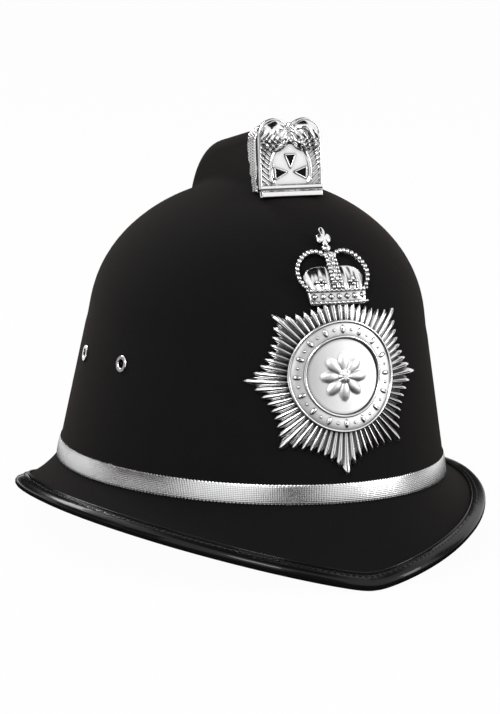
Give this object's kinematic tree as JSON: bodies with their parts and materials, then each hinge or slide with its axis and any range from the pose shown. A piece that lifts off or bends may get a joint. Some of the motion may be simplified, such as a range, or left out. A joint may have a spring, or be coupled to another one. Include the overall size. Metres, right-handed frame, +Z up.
{
  "type": "custodian police helmet",
  "caption": "Tall domed black cloth helmet with a raised comb, peaked bound brim, silver band, star-shaped front plate, and a lined head cradle with a swinging chin strap.",
  "frame": {"origin": "on the ground under the middle of the bounding box, with the helmet standing on the front and rear peaks of its brim", "axes": "+Z up, -Y towards the front plate, +X towards the wearer's left; the longest extent, front to back, is along Y"},
  "size_m": [0.248, 0.3072, 0.2286],
  "materials": {
    "cloth": "matt black napped cloth",
    "shell": "moulded, dull black",
    "lining": "black cloth lining",
    "binding": "glossy black patent",
    "ribbon": "woven silver metallic ribbon",
    "chrome": "polished silver plate",
    "eyelet": "plated eyelet",
    "steel": "plain zinc-plated steel",
    "leather_pad": "tan leather washer",
    "headband": "flexible black plastic",
    "sweatband": "dark brown leather",
    "cork": "cork block",
    "tape": "black webbing",
    "pad": "soft black pad",
    "nylon": "moulded nylon",
    "strap": "black leather strap"
  },
  "bodies": {
    "helmet": {"cloth_cover": "cloth", "shell": "shell", "brim_lining": "lining", "brim_binding": "binding", "hat_band": "ribbon", "badge_star": "chrome", "badge_ring": "chrome", "badge_centre": "chrome", "badge_crown": "chrome", "badge_lugs": "steel", "badge_washers": "leather_pad", "badge_split_pins": "steel", "comb_mount": "chrome", "comb_mount_studs": "steel", "comb_mount_nuts": "steel", "vent_eyelets_right": "eyelet", "vent_eyelets_left": "eyelet", "eyelet_washers_right": "eyelet", "eyelet_washers_left": "eyelet", "headband": "headband", "sweatband": "sweatband", "headband_spacers": "cork", "cradle_tapes": "tape", "headband_rivets": "steel", "crown_disc": "tape", "crown_pad": "pad", "strap_anchor_right": "nylon", "strap_anchor_left": "nylon", "anchor_rivets": "steel", "strap_pivot_right": "steel", "strap_pivot_left": "steel"},
    "chin_strap": {"chin_strap_long": "strap", "chin_strap_short": "strap", "strap_buckle": "steel"},
    "prong": {"buckle_prong": "steel"},
    "keeper": {"strap_keeper": "strap"}
  },
  "joints": [
    {"name": "chin_strap_swing", "type": "hinge", "parent": "helmet", "child": "chin_strap", "pos_m": [0, 0.00482, 0.026], "axis": [1, 0, 0], "range_deg": [-110, 0]},
    {"name": "buckle_prong_turn", "type": "hinge", "parent": "chin_strap", "child": "prong", "pos_m": [0.0838, 0.038, 0.026], "axis": [0, 0, 1], "range_deg": [-50, 0]},
    {"name": "keeper_slide", "type": "slide", "parent": "chin_strap", "child": "keeper", "axis": [0, 1, 0], "range_m": [-0.004, 0.003]}
  ]
}
